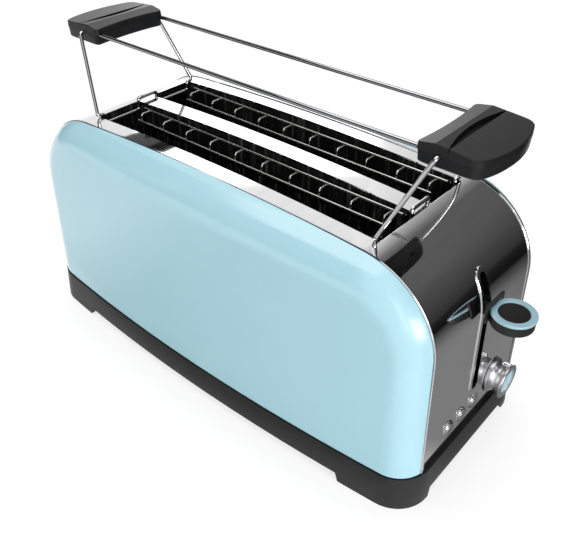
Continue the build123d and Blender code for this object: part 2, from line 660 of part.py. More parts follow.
with BuildPart() as guide_1:
    rail_y, up_y = GUIDE_Y[0]
    with Locations((0, rail_y, RAIL_Z)):
        Cylinder(RAIL_R, 2 * RAIL_L, rotation=(0, 90, 0))
    with Locations((0, up_y + BAND, GUIDE_FRONT_Z), (0, up_y + BAND, GUIDE_BOTTOM_Z)):
        Cylinder(GUIDE_WIRE_R, 2 * GUIDE_HALF, rotation=(0, 90, 0))
    for x in guide_xs:
        add(guide_wire(rail_y, up_y, x))
guide_1.part.label = "guide_front_outer"
export_step(guide_1.part, "parts/guide_front_outer.step")

with BuildPart() as guide_2:
    rail_y, up_y = GUIDE_Y[1]
    with Locations((0, rail_y, RAIL_Z)):
        Cylinder(RAIL_R, 2 * RAIL_L, rotation=(0, 90, 0))
    with Locations((0, up_y - BAND, GUIDE_FRONT_Z), (0, up_y - BAND, GUIDE_BOTTOM_Z)):
        Cylinder(GUIDE_WIRE_R, 2 * GUIDE_HALF, rotation=(0, 90, 0))
    for x in guide_xs:
        add(guide_wire(rail_y, up_y, x))
guide_2.part.label = "guide_front_inner"
export_step(guide_2.part, "parts/guide_front_inner.step")

with BuildPart() as guide_3:
    rail_y, up_y = GUIDE_Y[2]
    with Locations((0, rail_y, RAIL_Z)):
        Cylinder(RAIL_R, 2 * RAIL_L, rotation=(0, 90, 0))
    with Locations((0, up_y + BAND, GUIDE_FRONT_Z), (0, up_y + BAND, GUIDE_BOTTOM_Z)):
        Cylinder(GUIDE_WIRE_R, 2 * GUIDE_HALF, rotation=(0, 90, 0))
    for x in guide_xs:
        add(guide_wire(rail_y, up_y, x))
guide_3.part.label = "guide_rear_inner"
export_step(guide_3.part, "parts/guide_rear_inner.step")

with BuildPart() as guide_4:
    rail_y, up_y = GUIDE_Y[3]
    with Locations((0, rail_y, RAIL_Z)):
        Cylinder(RAIL_R, 2 * RAIL_L, rotation=(0, 90, 0))
    with Locations((0, up_y - BAND, GUIDE_FRONT_Z), (0, up_y - BAND, GUIDE_BOTTOM_Z)):
        Cylinder(GUIDE_WIRE_R, 2 * GUIDE_HALF, rotation=(0, 90, 0))
    for x in guide_xs:
        add(guide_wire(rail_y, up_y, x))
guide_4.part.label = "guide_rear_outer"
export_step(guide_4.part, "parts/guide_rear_outer.step")

# Bread lifts: a narrow strip with a stiffening rib that leaves the oven at both ends
LIFT_X = PLATE_X - 5.0
RIB_X0 = -PLATE_X - 4.0
RIB_X1 = PLATE_X + 8.0
rib_mid = (RIB_X0 + RIB_X1) / 2
with BuildPart() as lift_front:
    with Locations((0, LIFT_Y[0], LIFT_Z - 0.6)):
        Box(2 * LIFT_X, 2 * LIFT_HALF, 1.2)
    with Locations((rib_mid, LIFT_Y[0], LIFT_Z - 5.4)):
        Box(RIB_X1 - RIB_X0, 1.2, 8.4)
    with Locations(*[(x + GUIDE_PITCH / 2, LIFT_Y[0], LIFT_Z) for x in guide_xs[:-1]]):
        Box(12.0, 3.4, 6.0, mode=Mode.SUBTRACT)
lift_front.part.label = "lift_front"
export_step(lift_front.part, "parts/lift_front.step")

with BuildPart() as lift_rear:
    with Locations((0, LIFT_Y[1], LIFT_Z - 0.6)):
        Box(2 * LIFT_X, 2 * LIFT_HALF, 1.2)
    with Locations((rib_mid, LIFT_Y[1], LIFT_Z - 5.4)):
        Box(RIB_X1 - RIB_X0, 1.2, 8.4)
    with Locations(*[(x + GUIDE_PITCH / 2, LIFT_Y[1], LIFT_Z) for x in guide_xs[:-1]]):
        Box(12.0, 3.4, 6.0, mode=Mode.SUBTRACT)
lift_rear.part.label = "lift_rear"
export_step(lift_rear.part, "parts/lift_rear.step")

# Carriage that joins both lifts and slides on the two guide rods
CAR_Z0 = LIFT_Z - 12.0
CAR_Z1 = LIFT_Z + 20.0
BRIDGE_Y0 = LIFT_Y[0] - 2.8
BRIDGE_Y1 = LIFT_Y[1] + 3.4
BRIDGE_H = 16.0
ARM_Z0 = LIFT_Z - 0.2    # underside of the armature
MAG_X = ROD_X + 14.5
with BuildPart() as carriage:
    with Locations((PLATE_X + 8.75, (BRIDGE_Y0 + BRIDGE_Y1) / 2, CAR_Z0 + BRIDGE_H / 2)):
        Box(1.5, BRIDGE_Y1 - BRIDGE_Y0, BRIDGE_H)
    with Locations((ROD_X, ROD_Y, (CAR_Z0 + CAR_Z1) / 2), (ROD_X, -ROD_Y, (CAR_Z0 + CAR_Z1) / 2)):
        Box(10.0, 9.0, CAR_Z1 - CAR_Z0)
    with Locations((ROD_X + 1.0, 0, (CAR_Z0 + CAR_Z1) / 2)):
        Box(8.0, 20.0, CAR_Z1 - CAR_Z0)
    with Locations((ROD_X + 13.0, 0, ARM_Z0 + 0.85)):
        Box(17.0, 16.0, 1.7)
    with Locations((ROD_X - 9.0, 0, LIFT_Z + 1.0)):
        Box(6.5, 5.0, 1.4)
    with Locations((ROD_X, ROD_Y, LIFT_Z), (ROD_X, -ROD_Y, LIFT_Z)):
        Cylinder(ROD_R + ROD_FIT, 60, mode=Mode.SUBTRACT)
carriage.part.label = "carriage"
export_step(carriage.part, "parts/carriage.step")

ROD_Z0 = PLATE_Z0 + 1.0
ROD_Z1 = TOP_Z - 15.0
rod_mid = (ROD_Z0 + ROD_Z1) / 2
with BuildPart() as guide_rods:
    with Locations((ROD_X, ROD_Y, rod_mid), (ROD_X, -ROD_Y, rod_mid)):
        Cylinder(ROD_R, ROD_Z1 - ROD_Z0)
guide_rods.part.label = "guide_rods"
export_step(guide_rods.part, "parts/guide_rods.step")

with BuildPart() as rod_holder_top:
    with Locations((ROD_X - 2.5, 0, ROD_Z1 - 2.0)):
        Box(21.0, 36.0, 5.0)
    with Locations((ROD_X, ROD_Y, ROD_Z1 - 5.0), (ROD_X, -ROD_Y, ROD_Z1 - 5.0)):
        Cylinder(ROD_R + 0.02, 10.0, mode=Mode.SUBTRACT)
    add(envelope_in.part, mode=Mode.INTERSECT)
rod_holder_top.part.label = "rod_holder_top"
export_step(rod_holder_top.part, "parts/rod_holder_top.step")

with BuildPart() as rod_holder_bottom:
    with Locations((ROD_X + 4.6, 0, PLATE_Z0 + 5.5)):
        Box(34.8, 36.0, 9.0)
    with Locations((ROD_X + 10.6, 0, PLATE_Z0 + 0.5)):
        Box(22.8, 20.0, 1.0)
    with Locations((ROD_X, ROD_Y, ROD_Z0 + 5.0), (ROD_X, -ROD_Y, ROD_Z0 + 5.0)):
        Cylinder(ROD_R + 0.02, 10.0, mode=Mode.SUBTRACT)
rod_holder_bottom.part.label = "rod_holder_bottom"
export_step(rod_holder_bottom.part, "parts/rod_holder_bottom.step")

# Hold-down magnet: core with its base and pole, and the winding round it
MAG_Z0 = PLATE_Z0 + 10.0
MAG_Z1 = ARM_Z0 - TRAVEL_DOWN - 0.2
with BuildPart() as magnet_core:
    with Locations((MAG_X, 0, MAG_Z0 + 1.0)):
        Box(13.0, 15.0, 2.0)
    with Locations((MAG_X, 0, (MAG_Z0 + MAG_Z1) / 2)):
        Cylinder(3.0, MAG_Z1 - MAG_Z0)
    with Locations((MAG_X, 0, MAG_Z1 - 1.0)):
        Cylinder(6.0, 2.0)
magnet_core.part.label = "magnet_core"
export_step(magnet_core.part, "parts/magnet_core.step")

with BuildPart() as magnet_coil:
    with Locations((MAG_X, 0, (MAG_Z0 + MAG_Z1) / 2)):
        Cylinder(6.3, MAG_Z1 - MAG_Z0 - 4.2)
        Cylinder(3.05, MAG_Z1 - MAG_Z0, mode=Mode.SUBTRACT)
magnet_coil.part.label = "magnet_coil"
export_step(magnet_coil.part, "parts/magnet_coil.step")

# Return spring between the top rod holder and the carriage
SPRING_R = 2.2
SPRING_WIRE = 0.45
SPRING_X = ROD_X - 9.4
SPRING_Z0 = LIFT_Z + 2.2
SPRING_Z1 = ROD_Z1 - 5.0
SPRING_TURNS = 8
pitch = (SPRING_Z1 - SPRING_Z0) / SPRING_TURNS
with BuildPart() as return_spring:
    with BuildLine() as coil:
        Helix(pitch=pitch, height=SPRING_Z1 - SPRING_Z0, radius=SPRING_R, center=(SPRING_X, 0, SPRING_Z0))
    with BuildSketch(Plane(origin=coil.line @ 0, z_dir=coil.line % 0)):
        Circle(SPRING_WIRE)
    sweep(is_frenet=True)
return_spring.part.label = "return_spring"
export_step(return_spring.part, "parts/return_spring.step")

# Lever: stem through the slit, knob body, painted ring and centre disc
stem_x0 = ROD_X + 5.0
with BuildPart() as lever_stem:
    with Locations(((stem_x0 + LEVER_PLATE_X) / 2, 0, (STEM_Z0 + STEM_Z1) / 2)):
        Box(LEVER_PLATE_X - stem_x0, 2 * STEM_HALF, STEM_Z1 - STEM_Z0)
    chamfer(lever_stem.edges().filter_by(Axis.X), 0.8)
lever_stem.part.label = "lever_stem"
export_step(lever_stem.part, "parts/lever_stem.step")

with BuildPart() as lever_knob:
    with BuildSketch(Plane.XY.offset(LEVER_Z0)):
        with Locations((LEVER_X, 0)):
            Circle(LEVER_R - 0.5)
    extrude(amount=LEVER_Z1 - LEVER_Z0)
    fillet(lever_knob.faces().sort_by(Axis.Z)[0].edges(), 0.6)
    with Locations((LEVER_PLATE_X - 5.0, 0, LEVER_Z0)):
        Box(10.0, 40.0, 40.0, mode=Mode.SUBTRACT)
    with BuildSketch(Plane.YZ.offset(LEVER_PLATE_X)):
        with Locations((0, (LEVER_PLATE_Z0 + LEVER_PLATE_Z1) / 2)):
            RectangleRounded(2 * LEVER_PLATE_HALF, LEVER_PLATE_Z1 - LEVER_PLATE_Z0, 1.5)
    extrude(amount=LEVER_PLATE_T)
lever_knob.part.label = "lever_knob"
export_step(lever_knob.part, "parts/lever_knob.step")

with BuildPart() as lever_ring:
    with BuildSketch(Plane.XY.offset(LEVER_Z1)):
        with Locations((LEVER_X, 0)):
            Circle(LEVER_R)
            Circle(LEVER_DISC_R + 0.1, mode=Mode.SUBTRACT)
    extrude(amount=LEVER_TOP - LEVER_Z1)
    fillet(lever_ring.faces().sort_by(Axis.Z)[-1].edges(), 0.8)
    with Locations((LEVER_PLATE_X + LEVER_PLATE_T - 5.0, 0, LEVER_TOP)):
        Box(10.0, 40.0, 8.0, mode=Mode.SUBTRACT)
lever_ring.part.label = "lever_ring"
export_step(lever_ring.part, "parts/lever_ring.step")

with BuildPart() as lever_centre:
    with BuildSketch(Plane.XY.offset(LEVER_Z1)):
        with Locations((LEVER_X, 0)):
            Circle(LEVER_DISC_R)
    extrude(amount=LEVER_TOP - LEVER_Z1 - 0.4)
    chamfer(lever_centre.faces().sort_by(Axis.Z)[-1].edges(), 0.3)
lever_centre.part.label = "lever_centre"
export_step(lever_centre.part, "parts/lever_centre.step")

# Browning dial: bush in the steel, spool-shaped knob with a pointer peg, painted cap and shaft
with BuildPart() as dial_collar:
    with Locations((DIAL_X0 - 0.25, DIAL_Y, DIAL_Z)):
        Cylinder(DIAL_R - 1.6, 3.0, rotation=(0, 90, 0), align=(Align.CENTER, Align.CENTER, Align.MAX))
    add(envelope.part, mode=Mode.SUBTRACT)
    with Locations((DIAL_X0 - 0.5, DIAL_Y, DIAL_Z)):
        Cylinder(BUSH_R, 3.4, rotation=(0, 90, 0), align=(Align.CENTER, Align.CENTER, Align.MAX))
    with Locations((DIAL_X0, DIAL_Y, DIAL_Z)):
        Cylinder(SHAFT_R + 0.4, 20.0, rotation=(0, 90, 0), mode=Mode.SUBTRACT)
dial_collar.part.label = "dial_collar"
export_step(dial_collar.part, "parts/dial_collar.step")

PEG_R = 1.9
PEG_AT = DIAL_R + 1.5    # distance of the peg from the dial's axis
PIN_R = 1.0              # radial pin that holds the peg
CAP_R = 9.6
RECESS = 1.7             # depth of the front recess
with BuildPart() as dial_body_turned:
    with BuildSketch(Plane.XY):
        with BuildLine():
            waist_x = (DIAL_X0 + DIAL_X1) / 2 - 0.2
            back = (DIAL_X0 + 0.6, DIAL_R + 0.3)
            front = (DIAL_X1 - 1.7, DIAL_R - 0.5)
            Polyline((DIAL_X0, 0), (DIAL_X0, DIAL_R + 0.3), back)
            Spline(back, (waist_x, DIAL_WAIST), front)
            Polyline(front, (DIAL_X1 - 1.4, DIAL_R), (DIAL_X1 - 0.4, DIAL_R), (DIAL_X1, DIAL_R - 0.4))
            Line((DIAL_X1, DIAL_R - 0.4), (DIAL_X1, CAP_R + 0.1))
            Polyline((DIAL_X1, CAP_R + 0.1), (DIAL_X1 - RECESS, CAP_R + 0.1), (DIAL_X1 - RECESS, 0), (DIAL_X0, 0))
        make_face()
    revolve(axis=Axis.X)
with BuildPart() as dial_knob:
    add(dial_body_turned.part.moved(Location((0, DIAL_Y, DIAL_Z))))
    with Locations((DIAL_X0, DIAL_Y, DIAL_Z)):
        Cylinder(SHAFT_R + 0.03, 14.0, rotation=(0, 90, 0), mode=Mode.SUBTRACT)
    with Locations((DIAL_X1 - 0.75, DIAL_Y, DIAL_Z + PEG_AT)):
        peg_bore = (Align.CENTER, Align.CENTER, Align.MAX)
        Cylinder(PEG_R + 0.03, 9.0, rotation=(0, 90, 0), align=peg_bore, mode=Mode.SUBTRACT)
    with Locations((DIAL_X1 - 2.8, DIAL_Y, DIAL_Z + CAP_R + 1.0)):
        Cylinder(PIN_R + 0.02, 6.0, align=(Align.CENTER, Align.CENTER, Align.MIN), mode=Mode.SUBTRACT)
dial_knob.part.label = "dial_knob"
export_step(dial_knob.part, "parts/dial_knob.step")

with BuildPart() as dial_pointer:
    with Locations((DIAL_X1 - 0.8, DIAL_Y, DIAL_Z + PEG_AT)):
        Cylinder(PEG_R, 5.9, rotation=(0, 90, 0), align=(Align.CENTER, Align.CENTER, Align.MAX))
    fillet(dial_pointer.faces().sort_by(Axis.X)[0].edges(), 1.2)
    with Locations((DIAL_X1 - 2.8, DIAL_Y, DIAL_Z + CAP_R + 1.05)):
        Cylinder(PIN_R, PEG_AT - CAP_R - 1.0, align=(Align.CENTER, Align.CENTER, Align.MIN))
dial_pointer.part.label = "dial_pointer"
export_step(dial_pointer.part, "parts/dial_pointer.step")

with BuildPart() as dial_cap:
    with Locations((DIAL_X1 - RECESS, DIAL_Y, DIAL_Z)):
        Cylinder(CAP_R, 0.7, rotation=(0, 90, 0), align=(Align.CENTER, Align.CENTER, Align.MIN))
    fillet(dial_cap.faces().sort_by(Axis.X)[-1].edges(), 0.4)
dial_cap.part.label = "dial_cap"
export_step(dial_cap.part, "parts/dial_cap.step")

shaft_x0 = BOARD_X + 7.0
shaft_x1 = DIAL_X0 + 6.9
with BuildPart() as dial_shaft:
    with Locations(((shaft_x0 + shaft_x1) / 2, DIAL_Y, DIAL_Z)):
        Cylinder(SHAFT_R, shaft_x1 - shaft_x0, rotation=(0, 90, 0))
dial_shaft.part.label = "dial_shaft"
export_step(dial_shaft.part, "parts/dial_shaft.step")

# Control board with its switches, dial body and screws
board_z0 = BOARD_SCREW_Z[0] - 5.0
board_z1 = BOARD_SCREW_Z[1] + 5.0
BOARD_PCB_T = 1.6
stem_low = STEM_Z0 - TRAVEL_DOWN
with BuildPart() as control_board:
    with Locations((BOARD_X + BOARD_PCB_T / 2, 0, (board_z0 + board_z1) / 2)):
        Box(BOARD_PCB_T, 2 * BOARD_HALF, board_z1 - board_z0)
    with Locations((BOARD_X, 0, stem_low - 6.0)):
        Box(9.0, 18.0, 60.0, align=(Align.CENTER, Align.CENTER, Align.MIN), mode=Mode.SUBTRACT)
    with Locations(*[(BOARD_X, y, z) for y, z in board_holes]):
        Cylinder(1.3, 8.0, rotation=(0, 90, 0), mode=Mode.SUBTRACT)
control_board.part.label = "control_board"
export_step(control_board.part, "parts/control_board.step")

with BuildPart() as board_screws:
    with Locations(*[(BOARD_X + BOARD_PCB_T + 0.8, y, z) for y, z in board_holes]):
        Cylinder(2.2, 1.6, rotation=(0, 90, 0))
    with Locations(*[(BOARD_X - 0.4, y, z) for y, z in board_holes]):
        Cylinder(1.25, 4.2, rotation=(0, 90, 0))
board_screws.part.label = "board_screws"
export_step(board_screws.part, "parts/board_screws.step")

SWITCH_T = 3.0
switch_top = BOARD_X + BOARD_PCB_T + SWITCH_T + 0.5
with BuildPart() as tact_switches:
    with Locations(*[(BOARD_X + BOARD_PCB_T + SWITCH_T / 2, y, BUTTON_Z) for y in BUTTON_Y]):
        Box(SWITCH_T, 6.0, 6.0)
    with Locations(*[(switch_top - 0.3, y, BUTTON_Z) for y in BUTTON_Y]):
        Cylinder(1.7, 0.6, rotation=(0, 90, 0))
tact_switches.part.label = "tact_switches"
export_step(tact_switches.part, "parts/tact_switches.step")

with BuildPart() as dial_body:
    with Locations((BOARD_X + BOARD_PCB_T + 2.5, DIAL_Y, DIAL_Z)):
        Box(5.0, 15.0, 15.0)
    with Locations((BOARD_X + 6.8, DIAL_Y, DIAL_Z)):
        Cylinder(4.5, 0.4, rotation=(0, 90, 0))
dial_body.part.label = "dial_body"
export_step(dial_body.part, "parts/dial_body.step")

# Push buttons in their chrome rings
ring_face = end_x(BUTTON_Z) + 0.9
with BuildPart() as button_rings:
    with Locations(*[(ring_face, y, BUTTON_Z) for y in BUTTON_Y]):
        Cylinder(RING_R, 4.0, rotation=(0, 90, 0), align=(Align.CENTER, Align.CENTER, Align.MAX))
    chamfer(button_rings.faces().sort_by(Axis.X)[-3:].edges(), 0.3)
    add(envelope.part, mode=Mode.SUBTRACT)
    with Locations(*[(ring_face - 0.5, y, BUTTON_Z) for y in BUTTON_Y]):
        Cylinder(BUTTON_R + 0.6, 2.0, rotation=(0, 90, 0), align=(Align.CENTER, Align.CENTER, Align.MAX))
    with Locations(*[(ring_face, y, BUTTON_Z) for y in BUTTON_Y]):
        Cylinder(BUTTON_R + 0.08, 10.0, rotation=(0, 90, 0), mode=Mode.SUBTRACT)
button_rings.part.label = "button_rings"
export_step(button_rings.part, "parts/button_rings.step")

BUTTON_PRESS = 1.2
button_front = end_x(BUTTON_Z) + 1.8
flange_x = ring_face - 2.5 - 0.05
plunger_x = switch_top + BUTTON_PRESS + 0.05


def push_button(y):
    to_front = (Align.CENTER, Align.CENTER, Align.MAX)
    with BuildPart() as cap:
        with Locations((button_front, y, BUTTON_Z)):
            Cylinder(BUTTON_R, button_front - flange_x + 0.5, rotation=(0, 90, 0), align=to_front)
        fillet(cap.faces().sort_by(Axis.X)[-1].edges(), 0.5)
        with Locations((flange_x, y, BUTTON_Z)):
            Cylinder(BUTTON_R + 0.6, 0.8, rotation=(0, 90, 0), align=to_front)
        with Locations((flange_x - 0.5, y, BUTTON_Z)):
            Cylinder(1.6, flange_x - 0.5 - plunger_x, rotation=(0, 90, 0), align=to_front)
    return cap.part


button_1 = push_button(BUTTON_Y[0])
button_1.label = "button_1"
export_step(button_1, "parts/button_1.step")
button_2 = push_button(BUTTON_Y[1])
button_2.label = "button_2"
export_step(button_2, "parts/button_2.step")
button_3 = push_button(BUTTON_Y[2])
button_3.label = "button_3"
export_step(button_3, "parts/button_3.step")

# Crumb tray: sheet pan and a plastic front that closes the rear wall of the base
with BuildPart() as crumb_tray:
    with Locations((0, 10.0, 14.5)):
        Box(2 * TRAY_HALF - 5.0, 148.0, 7.6)
    with Locations((0, 10.0, 15.3)):
        Box(2 * TRAY_HALF - 6.6, 146.4, 8.0, mode=Mode.SUBTRACT)
crumb_tray.part.label = "crumb_tray"
export_step(crumb_tray.part, "parts/crumb_tray.step")

with BuildPart() as tray_front:
    a0, y0 = base_scale(FOOT_Z)
    a1, y1 = base_scale(LEDGE_Z)
    with BuildSketch(Plane.XY.offset(FOOT_Z)):
        add(base_face(a0, y0, BASE_RC))
    with BuildSketch(Plane.XY.offset(LEDGE_Z)):
        add(base_face(a1, y1, BASE_RC))
    loft(ruled=True)
    with Locations((0, 92.05, 16.75)):
        Box(2 * TRAY_HALF - 0.8, 16.0, 11.7, mode=Mode.INTERSECT)
    with Locations((0, 92.0, 12.0)):
        Box(46.0, 8.0, 5.0, mode=Mode.SUBTRACT)
tray_front.part.label = "tray_front"
export_step(tray_front.part, "parts/tray_front.step")

# Bun rack: two long wires, two wire legs and two handles in halves
with BuildPart() as rack_wires:
    with Locations((0, RACK_WIRE_Y, RACK_Z), (0, -RACK_WIRE_Y, RACK_Z)):
        Cylinder(RACK_WIRE_R, 2 * (HANDLE_X0 + WIRE_GRIP), rotation=(0, 90, 0))
rack_wires.part.label = "rack_wires"
export_step(rack_wires.part, "parts/rack_wires.step")

rest_z = arch_z(LEG_BOT_X) + RACK_WIRE_R + 0.05
LOOP_Z = TOP_Z - 0.2
DIP_Z = TOP_Z - 9.4
HOOK_Y = SLOT_Y1 - 4.3
LOOP_Y = SLOT_Y0 + 2.2
with BuildPart() as rack_leg_right:
    with BuildLine() as leg_path:
        FilletPolyline(
            (LEG_TOP_X, 8.5 - LEG_TOP_Y, RACK_Z),
            (LEG_TOP_X, -LEG_TOP_Y, RACK_Z),
            (LEG_BOT_X, -LEG_BOT_Y, rest_z),
            (LEG_BOT_X, -HOOK_Y, rest_z),
            (LEG_BOT_X, -HOOK_Y, DIP_Z),
            (LEG_BOT_X, -LOOP_Y, DIP_Z),
            (LEG_BOT_X, -LOOP_Y, LOOP_Z),
            (LEG_BOT_X, LOOP_Y, LOOP_Z),
            (LEG_BOT_X, LOOP_Y, DIP_Z),
            (LEG_BOT_X, HOOK_Y, DIP_Z),
            (LEG_BOT_X, HOOK_Y, rest_z),
            (LEG_BOT_X, LEG_BOT_Y, rest_z),
            (LEG_TOP_X, LEG_TOP_Y, RACK_Z),
            (LEG_TOP_X, LEG_TOP_Y - 8.5, RACK_Z),
            radius=2.2,
        )
    with BuildSketch(Plane(origin=leg_path.line @ 0, z_dir=leg_path.line % 0)):
        Circle(RACK_WIRE_R)
    sweep()
rack_leg_right.part.label = "rack_leg_right"
export_step(rack_leg_right.part, "parts/rack_leg_right.step")

leg_left = mirror(rack_leg_right.part, about=Plane.YZ)
leg_left.label = "rack_leg_left"
export_step(leg_left, "parts/rack_leg_left.step")


def handle_plan(grow):
    with BuildSketch() as plan:
        with BuildLine():
            x0 = HANDLE_X0 - grow
            x1 = HANDLE_X1 - 7.5
            y = HANDLE_Y + grow
            ThreePointArc((x0, -y), (x0 + 2.6, 0), (x0, y))
            Line((x0, y), (x1, y))
            ThreePointArc((x1, y), (HANDLE_X1 + grow, 0), (x1, -y))
            Line((x1, -y), (x0, -y))
        make_face()
        fillet(plan.vertices().sort_by(Axis.X)[-2:], 8.0)
        fillet(plan.vertices().sort_by(Axis.X)[:2], 3.0)
    return plan.sketch


groove_x = HANDLE_X0 + WIRE_GRIP - 8.0
groove_y = LEG_TOP_Y - 3.0
SCREW_X = HANDLE_X0 + 23.5
SCREW_Y = 18.0
with BuildPart() as handle_upper:
    with BuildSketch(Plane.XY.offset(RACK_Z)):
        add(handle_plan(0))
    with BuildSketch(Plane.XY.offset(RACK_Z + 8)):
        add(handle_plan(-0.4))
    loft(ruled=True)
    # roof: rising inner facet, ridge, outer part falling away
    with BuildSketch(Plane.XZ.offset(-50)):
        with BuildLine():
            Polyline(
                (RIDGE_X - 33.7, RACK_Z - 2),
                (RIDGE_X - 33.7, RACK_Z + 0.6),
                (HANDLE_X0 - 0.5, RACK_Z + 4.2),
                (RIDGE_X, RIDGE_Z),
                (RIDGE_X + 46.3, RIDGE_Z - 3.8),
                (RIDGE_X + 46.3, RACK_Z - 2),
                close=True,
            )
        make_face()
    extrude(amount=100, mode=Mode.INTERSECT)
    roof_rim = handle_upper.edges().filter_by(lambda e: e.center().Z > RACK_Z + 2.2)
    roof_rim = roof_rim.filter_by(lambda e: abs(e.tangent_at(0.5).Z) < 0.5 and e.length < 60)
    chamfer(roof_rim, 0.5)
    # crescent finger step: flat floor between an arc and a straight edge
    with BuildSketch(Plane.XY.offset(STEP_FLOOR)):
        with BuildLine():
            ThreePointArc((STEP_X, -HANDLE_Y - 1.0), (STEP_MID, 0), (STEP_X, HANDLE_Y + 1.0))
            Line((STEP_X, HANDLE_Y + 1.0), (STEP_X, -HANDLE_Y - 1.0))
        make_face()
    extrude(amount=12, mode=Mode.SUBTRACT)
    # grooves for the wires
    with Locations((groove_x, RACK_WIRE_Y, RACK_Z), (groove_x, -RACK_WIRE_Y, RACK_Z)):
        Cylinder(RACK_WIRE_R, 16.2, rotation=(0, 90, 0), mode=Mode.SUBTRACT)
    with Locations((LEG_TOP_X, groove_y, RACK_Z), (LEG_TOP_X, -groove_y, RACK_Z)):
        Cylinder(RACK_WIRE_R, 11.2, rotation=(90, 0, 0), mode=Mode.SUBTRACT)
handle_upper.part.label = "handle_right_upper"
export_step(handle_upper.part, "parts/handle_right_upper.step")
hlu = mirror(handle_upper.part, about=Plane.YZ)
hlu.label = "handle_left_upper"
export_step(hlu, "parts/handle_left_upper.step")

with BuildPart() as handle_lower:
    with BuildSketch(Plane.XY.offset(RACK_Z)):
        add(handle_plan(-0.35))
    with BuildSketch(Plane.XY.offset(HANDLE_Z0)):
        add(handle_plan(-0.8))
    loft(ruled=True)
    chamfer(handle_lower.faces().sort_by(Axis.Z)[0].edges(), 0.8)
    with Locations((groove_x, RACK_WIRE_Y, RACK_Z), (groove_x, -RACK_WIRE_Y, RACK_Z)):
        Cylinder(RACK_WIRE_R, 16.2, rotation=(0, 90, 0), mode=Mode.SUBTRACT)
    with Locations((LEG_TOP_X, groove_y, RACK_Z), (LEG_TOP_X, -groove_y, RACK_Z)):
        Cylinder(RACK_WIRE_R, 11.2, rotation=(90, 0, 0), mode=Mode.SUBTRACT)
    with Locations((SCREW_X, SCREW_Y, HANDLE_Z0 - 1), (SCREW_X, -SCREW_Y, HANDLE_Z0 - 1)):
        Cylinder(3.1, 3.6, align=(Align.CENTER, Align.CENTER, Align.MIN), mode=Mode.SUBTRACT)
handle_lower.part.label = "handle_right_lower"
export_step(handle_lower.part, "parts/handle_right_lower.step")
hll = mirror(handle_lower.part, about=Plane.YZ)
hll.label = "handle_left_lower"
export_step(hll, "parts/handle_left_lower.step")

# Screws under the handles
handle_pts = [(SCREW_X, SCREW_Y), (SCREW_X, -SCREW_Y), (-SCREW_X, SCREW_Y), (-SCREW_X, -SCREW_Y)]
with BuildPart() as handle_screws:
    with Locations(*[(x, y, HANDLE_Z0 + 0.9) for x, y in handle_pts]):
        Cylinder(3.0, 1.7, align=(Align.CENTER, Align.CENTER, Align.MIN))
    with Locations(*[(x, y, HANDLE_Z0 + 0.9) for x, y in handle_pts]):
        Box(3.4, 0.7, 1.6, mode=Mode.SUBTRACT)
        Box(0.7, 3.4, 1.6, mode=Mode.SUBTRACT)
handle_screws.part.label = "handle_screws"
export_step(handle_screws.part, "parts/handle_screws.step")
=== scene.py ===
import bpy
import json
import math
from mathutils import Matrix, Vector

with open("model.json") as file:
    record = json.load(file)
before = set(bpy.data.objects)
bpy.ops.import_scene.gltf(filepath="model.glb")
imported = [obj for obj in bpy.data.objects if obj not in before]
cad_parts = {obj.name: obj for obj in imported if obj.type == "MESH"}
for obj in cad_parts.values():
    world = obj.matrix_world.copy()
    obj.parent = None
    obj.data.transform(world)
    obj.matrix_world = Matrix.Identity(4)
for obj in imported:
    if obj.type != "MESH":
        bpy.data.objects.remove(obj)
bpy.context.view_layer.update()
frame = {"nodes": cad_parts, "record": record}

scene = bpy.context.scene
nodes = frame["nodes"]


# Shader helpers. Noise scales are per metre, and bump distances are in metres.

def empty_material(name):
    material = bpy.data.materials.new(name)
    material.use_nodes = True
    tree = material.node_tree
    tree.nodes.clear()
    return material, tree, tree.nodes.new("ShaderNodeOutputMaterial")


def new_material(name):
    material, tree, output = empty_material(name)
    shader = tree.nodes.new("ShaderNodeBsdfPrincipled")
    tree.links.new(shader.outputs[0], output.inputs[0])
    return material, tree, shader


def coordinates(tree, stretch=(1, 1, 1)):
    texture = tree.nodes.new("ShaderNodeTexCoord")
    mapping = tree.nodes.new("ShaderNodeMapping")
    mapping.inputs["Scale"].default_value = stretch
    tree.links.new(texture.outputs["Object"], mapping.inputs["Vector"])
    return mapping.outputs[0]


def noise(tree, place, scale, detail=4.0, rough=0.5):
    # detail counts octaves, rough is how much each keeps of the last
    texture = tree.nodes.new("ShaderNodeTexNoise")
    texture.inputs["Scale"].default_value = scale
    texture.inputs["Detail"].default_value = detail
    texture.inputs["Roughness"].default_value = rough
    tree.links.new(place, texture.inputs["Vector"])
    return texture.outputs["Fac"]


def ramp(tree, factor, stops):
    node = tree.nodes.new("ShaderNodeValToRGB")
    elements = node.color_ramp.elements
    while len(elements) < len(stops):
        elements.new(0.5)
    for element, (position, colour) in zip(elements, stops):
        element.position = position
        element.color = (*colour, 1.0)
    tree.links.new(factor, node.inputs["Fac"])
    return node.outputs["Color"]


def spread(tree, factor, low, high, start=0.0, end=1.0):
    # low at start, high at end
    node = tree.nodes.new("ShaderNodeMapRange")
    node.inputs["From Min"].default_value = start
    node.inputs["From Max"].default_value = end
    node.inputs["To Min"].default_value = low
    node.inputs["To Max"].default_value = high
    tree.links.new(factor, node.inputs["Value"])
    return node.outputs[0]


def bump(tree, shader, height, strength, distance):
    node = tree.nodes.new("ShaderNodeBump")
    node.inputs["Strength"].default_value = strength
    node.inputs["Distance"].default_value = distance
    tree.links.new(height, node.inputs["Height"])
    tree.links.new(node.outputs[0], shader.inputs["Normal"])


def shade(colour, factor):
    return tuple(min(1.0, channel * factor) for channel in colour)


# Materials. The pair called rough is the lowest and the highest roughness over the surface.

SMOOTH = 0.0001
GRAIN = 0.0002
COARSE = 0.0003
PALE_BLUE = (0.42, 0.69, 0.78)
RING_BLUE = (0.32, 0.53, 0.61)


